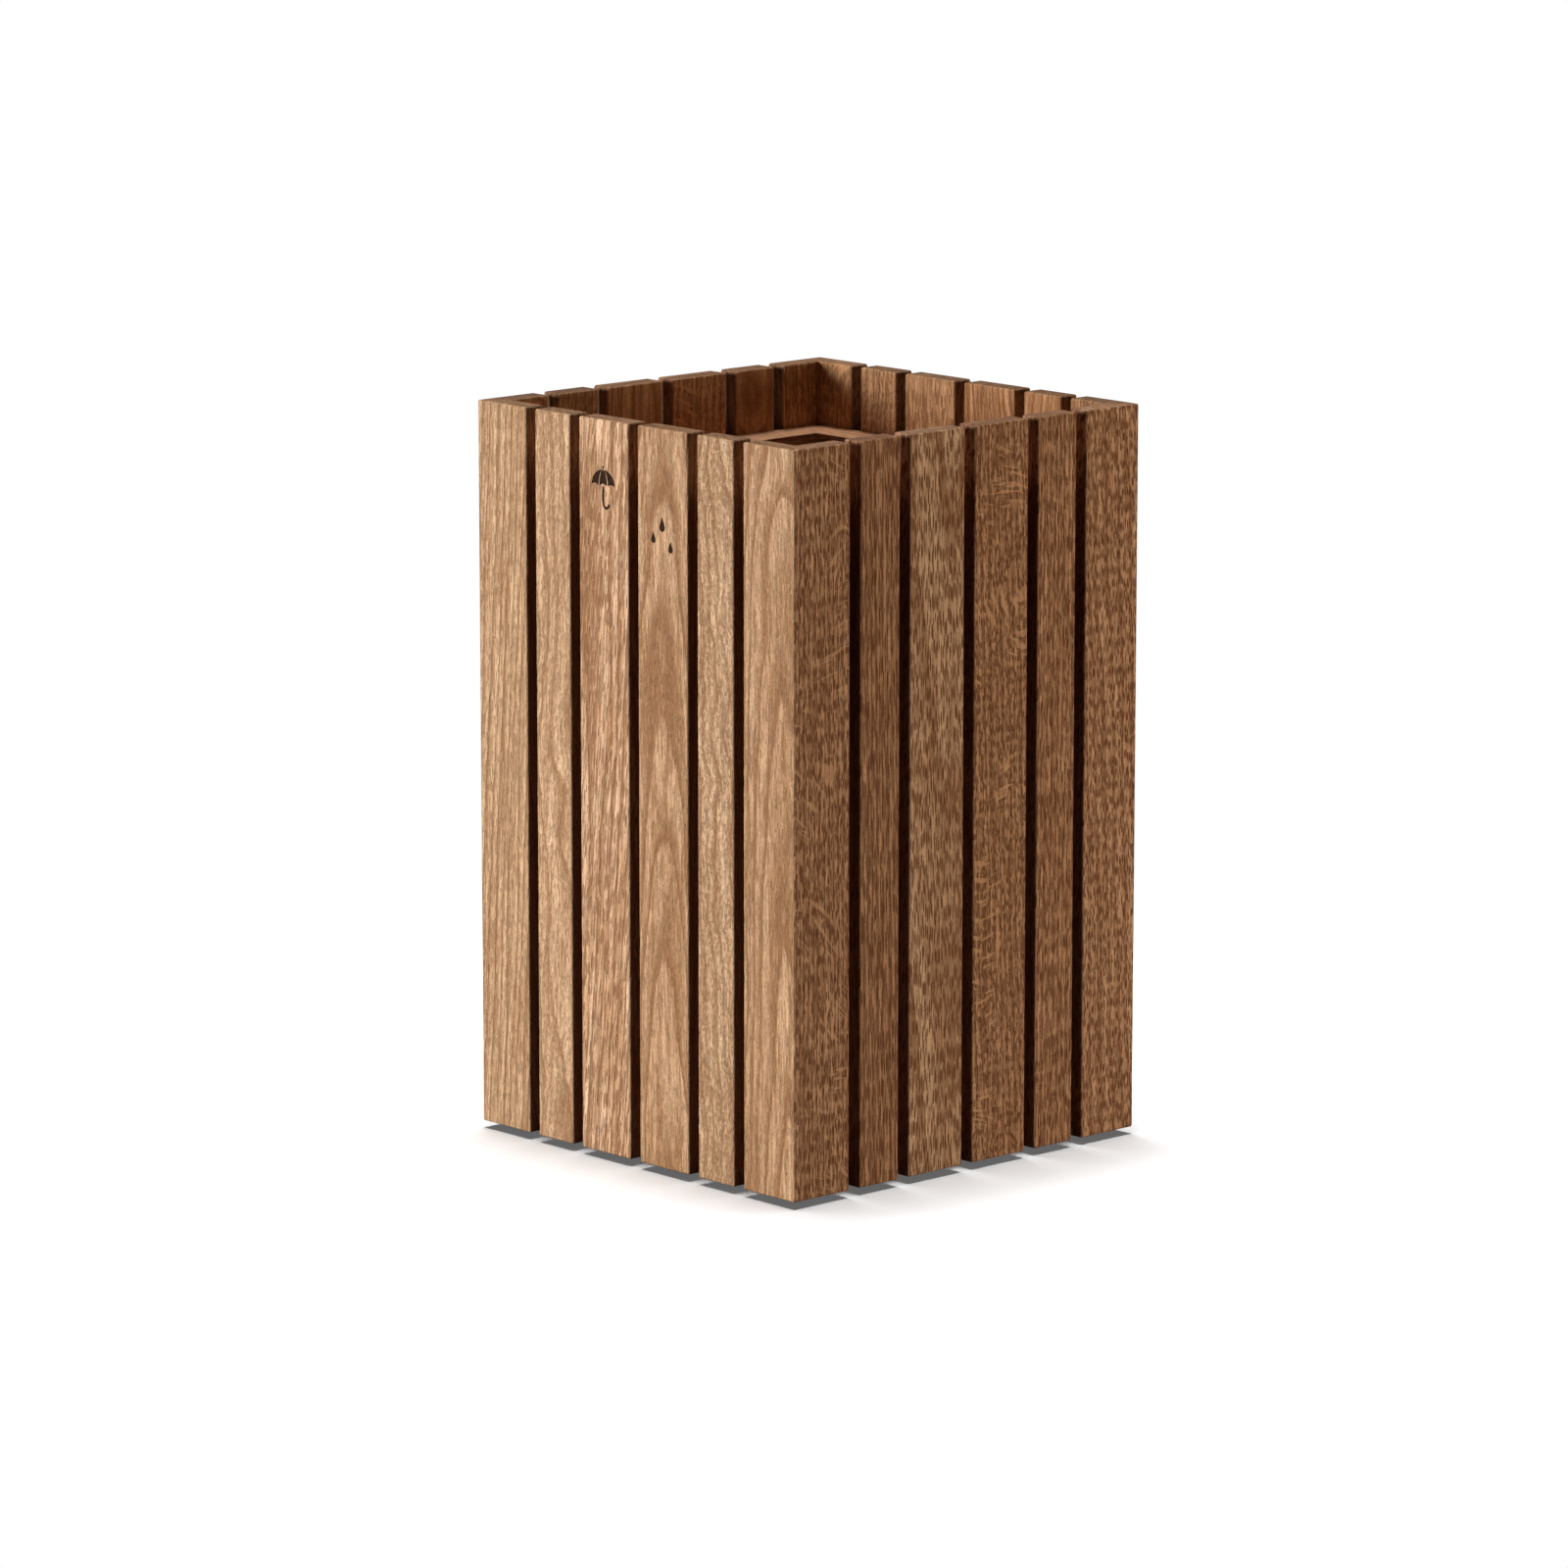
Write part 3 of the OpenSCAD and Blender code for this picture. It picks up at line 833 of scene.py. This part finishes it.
def make_foot_screws(steel):
    mesh = bmesh.new()
    for node in FEET:
        low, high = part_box(node)
        place = Matrix.Translation(((low.x + high.x) / 2, (low.y + high.y) / 2, FOOT_RECESS_DEPTH))
        screw(mesh, place, FOOT_SCREW_LENGTH, pan_head())
    finish_screws(mesh, steel, "foot_screws")


def make_screws():
    steel = zinc("zinc_screws")
    for level in ("bottom", "top"):
        make_slat_screws(steel, level)
    make_panel_screws(steel)
    make_foot_screws(steel)


def fluted(angle):
    return DOWEL_RADIUS - FLUTE_DEPTH * (0.5 + 0.5 * math.cos(SEGMENTS / 2 * angle))


def make_dowels():
    """Fluted, chamfered dowels, each third of the way up its rail."""
    wood = beech("beech_dowels")
    end_radius = DOWEL_RADIUS - DOWEL_CHAMFER
    rings = [(0.0, end_radius), (DOWEL_CHAMFER, fluted), (DOWEL_LENGTH - DOWEL_CHAMFER, fluted),
             (DOWEL_LENGTH, end_radius)]
    for level in ("bottom", "top"):
        low, high = side_box(f"{level}_frame_front", 0)
        height = low.z + (high.z - low.z) / 3
        mesh = bmesh.new()
        for side in range(len(SIDES)):
            for x in (low.x + DOWEL_FROM_CORNER, high.x - DOWEL_FROM_CORNER):
                lathe(mesh, rings, out_through(side, x, low.y + DOWEL_IN_RAIL, height))
        node = f"corner_dowels_{level}"
        finish_piece(mesh_object("beech_" + node, mesh), wood, "stand", "beech", node)


def foot_profile(outer, top):
    """Rings of a foot, from the screw hole's top down, under the sole and up the outside."""
    rings = [(top, FOOT_HOLE_RADIUS), (FOOT_RECESS_DEPTH, FOOT_HOLE_RADIUS),
             (FOOT_RECESS_DEPTH, FOOT_RECESS_RADIUS), (0.3 * MM, FOOT_RECESS_RADIUS),
             (0.0, FOOT_RECESS_RADIUS + 0.3 * MM)]
    for tread in TREAD_RADII:
        rings += [(0.0, tread), (TREAD_DEPTH, tread + 0.2 * MM), (TREAD_DEPTH, tread + 0.8 * MM),
                  (0.0, tread + 1.0 * MM)]
    for sine, rise in quarter_turn(5):
        rings.append((FOOT_EASE * rise, outer - FOOT_EASE + FOOT_EASE * sine))
    # a moulding line runs round the foot below its top edge
    rings += [(top - 1.6 * MM, outer), (top - 1.3 * MM, outer - 0.3 * MM), (top - 1.0 * MM, outer)]
    return rings + [(top - 0.3 * MM, outer), (top, outer - 0.3 * MM)]


def sharp_by_angle(thing, degrees):
    """Marks the edges where two faces meet at more than the angle."""
    mesh = bmesh.new()
    mesh.from_mesh(thing.data)
    for edge in mesh.edges:
        edge.smooth = not edge.is_manifold or edge.calc_face_angle(0.0) < math.radians(degrees)
    mesh.to_mesh(thing.data)
    mesh.free()


def make_feet():
    """Moulded feet with ring treads underneath and a recess for the screw."""
    black = rubber("rubber_feet")
    for node in FEET:
        low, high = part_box(node)
        centre = Vector(((low.x + high.x) / 2, (low.y + high.y) / 2, 0))
        mesh = bmesh.new()
        rings = foot_profile((high.x - low.x) / 2, high.z)
        rows = lathe(mesh, rings, Matrix.Translation(centre), close=False)
        skin(mesh, [rows[-1], rows[0]], close_start=False, close_end=False)
        bmesh.ops.recalc_face_normals(mesh, faces=mesh.faces)
        piece = finish_piece(mesh_object("rubber_" + node, mesh), black, "stand", "foot_rubber", node)
        sharp_by_angle(piece, 40)
        even_normals(piece)


def rounded_square(half, radius, steps=6, splits=12):
    """Points of a square with round corners about the origin, anticlockwise."""
    points = []
    for k, (sx, sy) in enumerate(((1, -1), (1, 1), (-1, 1), (-1, -1))):
        centre = ((half - radius) * sx, (half - radius) * sy)
        corner = arc(centre, radius, 90 * k - 90, 90 * k, steps)
        points += corner
        nxt = Matrix.Rotation(QUARTER, 2) @ corner[0]
        for i in range(1, splits):
            points.append(corner[-1].lerp(nxt, i / splits))
    return points


# The tray is pressed from sheet
SHEET = 1.0 * MM
TRAY_LIP = 3.0 * MM
TRAY_CORNER = 6.0 * MM
TRAY_FOLD = 2.2 * MM
LIP_FOLD = 1.0 * MM
SMALLEST_CORNER = 1.2 * MM


def tray_profile(low, high):
    """From the edge of the underside over the rim to the edge of the floor, between two heights.
    Each point is (how far inside the tray's outer wall, height, wear of the coating)."""
    middle = (low + high) / 2
    rim = SHEET / 2
    outer_bend = LIP_FOLD + SHEET
    inner_fold = TRAY_FOLD - SHEET
    outside = [(TRAY_FOLD * (1 - sine), low + TRAY_FOLD * rise, 0.0) for sine, rise in quarter_turn(5)]
    under_lip = [(-LIP_FOLD * rise, high - SHEET - LIP_FOLD * (1 - sine), 0.2)
                 for sine, rise in quarter_turn(4)]
    edge = []
    for i in range(7):
        angle = math.pi * i / 6
        edge.append((-TRAY_LIP + rim - rim * math.sin(angle), high - rim - rim * math.cos(angle), 1.0))
    over_lip = [(-LIP_FOLD + outer_bend * sine, high - outer_bend * rise, 0.55)
                for sine, rise in quarter_turn(4)]
    inside = [(TRAY_FOLD - inner_fold * (1 - rise), low + SHEET + inner_fold * (1 - sine), 0.0)
              for sine, rise in quarter_turn(5)]
    return outside + [(0.0, middle, 0.0)] + under_lip + edge + over_lip + [(SHEET, middle, 0.0)] + inside


def make_tray():
    """A tray with rounded folds and a lip with a softened rim."""
    low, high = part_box("drip_tray")
    body = high.x - TRAY_LIP
    mesh = bmesh.new()
    wear_layer = mesh.verts.layers.float.new("edge_wear_and_highlight")
    rows = []
    for inward, height, wear in tray_profile(low.z, high.z):
        row = []
        for point in rounded_square(body - inward, max(SMALLEST_CORNER, TRAY_CORNER - inward)):
            vert = mesh.verts.new((point.x, point.y, height))
            vert[wear_layer] = wear
            row.append(vert)
        rows.append(row)
    skin(mesh, rows)
    tray = mesh_object("steel_drip_tray", mesh)
    finish_piece(tray, powder_coat("coated_tray"), "tray", "tray_coating", "drip_tray")
    even_normals(tray)


def make_base():
    low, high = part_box("base_panel")
    keep_node("base_panel", plywood("plywood_panel", low.z, high.z, PLIES), PANEL_EASE)
    pressed = beech("beech_biscuits")
    for level in ("bottom", "top"):
        keep_node(f"mitre_biscuits_{level}", pressed, BISCUIT_EASE)


# ------------------------------------------------------------------ burnt-in sign

SIGN_DEPTH = 0.35 * MM

# The open umbrella: its canopy's height and half width, and where its ribs meet the hem
CANOPY = 9.5 * MM
RIBS = (-1.0, -0.36, 0.36, 1.0)
RIB_GAP = 0.04
HEM_RISE = 0.9 * MM
SHAFT = 0.75 * MM
HOOK_RADIUS = 2.3 * MM
HOOK_DROP = -8.5 * MM
FERRULE = 2 * MM

# The falling drops: place of each, and its radius
DROPS = ((-7 * MM, -1 * MM, 1.8 * MM), (0, 6 * MM, 2.2 * MM), (6.5 * MM, -5 * MM, 1.8 * MM))
DROP_LENGTH = 2.6


def gore(inner, outer):
    """One panel of the umbrella's canopy, between two ribs given as shares of its half width."""
    inner_edge, outer_edge = [], []
    for i in range(9):
        angle = math.radians(6 + 76 * i / 8)
        inner_edge.append(Vector((CANOPY * inner * math.cos(angle), CANOPY * math.sin(angle))))
        outer_edge.append(Vector((CANOPY * outer * math.cos(angle), CANOPY * math.sin(angle))))
    hem = []
    for i in range(1, 6):
        share = i / 6
        rise = Vector((0, HEM_RISE * math.sin(math.pi * share)))
        hem.append(inner_edge[0].lerp(outer_edge[0], share) + rise)
    return list(reversed(inner_edge)) + hem + outer_edge


def umbrella():
    """Outlines of a small open umbrella, seen from the front, about the middle of its canopy's hem."""
    panels = []
    for left, right in zip(RIBS, RIBS[1:]):
        panels.append(gore(left + (RIB_GAP if left > -1 else 0), right - (RIB_GAP if right < 1 else 0)))
    hook = (HOOK_RADIUS, HOOK_DROP)
    outer = arc(hook, HOOK_RADIUS + SHAFT, 180, 360, 10)
    inner = arc(hook, HOOK_RADIUS - SHAFT, 360, 180, 10)
    handle = [Vector((-SHAFT, 0.4 * MM))] + outer + inner + [Vector((SHAFT, 0.4 * MM))]
    foot, tip = CANOPY + 0.3 * MM, CANOPY + FERRULE
    ferrule = [Vector((-SHAFT, foot)), Vector((SHAFT, foot)), Vector((0.6 * SHAFT, tip)),
               Vector((-0.6 * SHAFT, tip))]
    return panels + [handle, ferrule]


def raindrops():
    """Outlines of the falling drops."""
    return [arc((x, y), size, -205, 25, 12) + [Vector((x, y + DROP_LENGTH * size))] for x, y, size in DROPS]


# Each signed slat's outlines, and how far below the slat's top they lie
SIGNS = {"front_slat_3": (umbrella, 36 * MM), "front_slat_4": (raindrops, 58 * MM)}


def sign_cutter(outlines, middle, face, height):
    """A solid that reaches into the outer face as deep as the sign."""
    mesh = bmesh.new()
    for outline in outlines:
        near, far = [[mesh.verts.new((middle + p.x, y, height + p.y)) for p in outline]
                     for y in (face - 1 * MM, face + SIGN_DEPTH)]
        mesh.faces.new(near)
        mesh.faces.new(list(reversed(far)))
        for i in range(len(near)):
            j = (i + 1) % len(near)
            mesh.faces.new((near[j], near[i], far[i], far[j]))
    bmesh.ops.recalc_face_normals(mesh, faces=mesh.faces)
    return mesh_object("sign_cutter", mesh)


def burn_in(slat, node):
    """Sinks the sign's outlines into the slat's outer face and chars what they open."""
    outlines, drop = SIGNS[node]
    low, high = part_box(node)
    cutter = sign_cutter(outlines(), (low.x + high.x) / 2, low.y, high.z - drop)
    cutter.data.materials.append(burnt("burnt_" + node))
    modifier = slat.modifiers.new("sign", "BOOLEAN")
    modifier.object = cutter
    modifier.operation = "DIFFERENCE"
    modifier.solver = "EXACT"
    modifier.material_mode = "TRANSFER"
    graph = bpy.context.evaluated_depsgraph_get()
    cut = bpy.data.meshes.new_from_object(slat.evaluated_get(graph))
    slat.modifiers.clear()
    slat.data = cut
    bpy.data.objects.remove(cutter)

    # sharp edges round the sign keep the flat face's shading clean
    mesh = bmesh.new()
    mesh.from_mesh(cut)
    for edge in mesh.edges:
        if any(face.material_index == 1 for face in edge.link_faces):
            edge.smooth = edge.calc_face_angle(0.0) < math.radians(35)
    mesh.to_mesh(cut)
    mesh.free()


make_slats()
make_rails()
make_base()
make_dowels()
make_screws()
make_feet()
make_tray()

# ------------------------------------------------------------------ stage, lights, camera

# The camera sees the floor this pale, and the stand gets this much light back from it
FLOOR_SEEN = 0.9
FLOOR_BOUNCE = 0.12
FLOOR_GLOW = 0.12
FLOOR_HALF = 12.0
# Distances in mm from the stand between which the floor fades into the backdrop
FADE = (350.0, 750.0)
WORLD_LIGHT = 0.016
AIM_HEIGHT = 0.2


def make_stage():
    """A pale floor that fades into the white backdrop; the camera sees it brighter than it bounces."""
    mesh = bmesh.new()
    bmesh.ops.create_grid(mesh, x_segments=8, y_segments=8, size=FLOOR_HALF)
    floor = mesh_object("studio_floor", mesh)
    n = Nodes("studio_floor")
    seen = n.add("ShaderNodeLightPath").outputs["Is Camera Ray"]
    white = n.ramp(n.noise(n.place(333), detail=3.0), 0.3, 0.7, FLOOR_SEEN, FLOOR_SEEN * 1.03)
    card = n.mix(seen, rgb(FLOOR_BOUNCE, FLOOR_BOUNCE, FLOOR_BOUNCE), n.xyz(white, white, white))
    diffuse = n.add("ShaderNodeBsdfDiffuse", {"Color": card})
    glow = n.add("ShaderNodeEmission", {
        "Color": rgb(1, 1, 1), "Strength": n.math("MULTIPLY", seen, FLOOR_GLOW)})
    near = n.add("ShaderNodeAddShader", {0: diffuse.outputs[0], 1: glow.outputs[0]})
    backdrop = n.add("ShaderNodeEmission", {"Color": rgb(1, 1, 1), "Strength": seen})
    x, y, _ = n.split(n.place(1))
    away = n.ramp(n.vector("LENGTH", n.xyz(x, y, 0.0)), *FADE)
    both = n.add("ShaderNodeMixShader", {0: away, 1: near.outputs[0], 2: backdrop.outputs[0]})
    n.add("ShaderNodeOutputMaterial", {"Surface": both.outputs[0]})
    floor.data.materials.append(n.material)
    return floor


def direction(azimuth, elevation):
    a, e = math.radians(azimuth), math.radians(elevation)
    return Vector((math.sin(a) * math.cos(e), -math.cos(a) * math.cos(e), math.sin(e)))


def make_light(name, azimuth, elevation, distance, size, power, colour=(1, 1, 1)):
    """A square soft light aimed at the stand. Azimuth 0 is in front, 90 is to the right. Size in metres."""
    data = bpy.data.lights.new(name, "AREA")
    data.shape = "SQUARE"
    data.size = size
    data.energy = power
    data.color = colour
    light = bpy.data.objects.new(name, data)
    bpy.context.scene.collection.objects.link(light)
    towards = direction(azimuth, elevation)
    light.location = Vector((0, 0, AIM_HEIGHT)) + towards * distance
    light.rotation_euler = towards.to_track_quat("Z", "Y").to_euler()
    return light


def link_light(light, thing, state):
    """INCLUDE lets the light reach nothing but the thing; EXCLUDE makes it pass the thing by."""
    linked = bpy.data.collections.new("lit_by_" + light.name)
    linked.objects.link(thing)
    linked.collection_objects[0].light_linking.link_state = state
    light.light_linking.receiver_collection = linked


def make_lights(floor):
    """A key from the front left, one from the top, a weak fill on the right, and the floor's own lights."""
    on_stand = (make_light("key", -26, 9, 3.0, 1.0, 98),
                make_light("top", 225, 76, 2.2, 0.6, 30),
                make_light("fill", 112, 0, 2.2, 0.8, 21.5, (1.0, 0.80, 0.61)))
    on_floor = (make_light("ground", 0, 90, 2.4, 1.3, 90),
                make_light("slanted", 250, 84, 2.4, 0.35, 20))
    for light in on_stand:
        link_light(light, floor, "EXCLUDE")
    for light in on_floor:
        link_light(light, floor, "INCLUDE")


def make_world():
    """A world that is white to the camera and gives the stand only a little light."""
    world = bpy.data.worlds.new("studio")
    bpy.context.scene.world = world
    world.use_nodes = True
    tree = world.node_tree
    tree.nodes.clear()
    seen = tree.nodes.new("ShaderNodeLightPath").outputs["Is Camera Ray"]
    level = tree.nodes.new("ShaderNodeMapRange")
    level.inputs["To Min"].default_value = WORLD_LIGHT
    level.inputs["To Max"].default_value = 1.0
    background = tree.nodes.new("ShaderNodeBackground")
    background.inputs["Color"].default_value = rgb(1, 1, 1)
    output = tree.nodes.new("ShaderNodeOutputWorld")
    tree.links.new(seen, level.inputs["Value"])
    tree.links.new(level.outputs["Result"], background.inputs["Strength"])
    tree.links.new(background.outputs[0], output.inputs["Surface"])


def make_camera():
    """A long lens at the stand's near corner, a little above it, aimed just left of its middle."""
    azimuth, elevation, distance = 47.37, 11.03, 4.05
    aim_side, aim_height = -0.01265, 0.192
    data = bpy.data.cameras.new("camera")
    data.lens = 172.5
    data.sensor_width = 36.0
    camera = bpy.data.objects.new("camera", data)
    bpy.context.scene.collection.objects.link(camera)
    towards = direction(azimuth, elevation)
    aim = direction(azimuth + 90, 0) * aim_side + Vector((0, 0, aim_height))
    camera.location = aim + towards * distance
    camera.rotation_euler = towards.to_track_quat("Z", "Y").to_euler()
    bpy.context.scene.camera = camera


make_lights(make_stage())
make_world()
make_camera()
bpy.context.scene.view_settings.view_transform = "Standard"
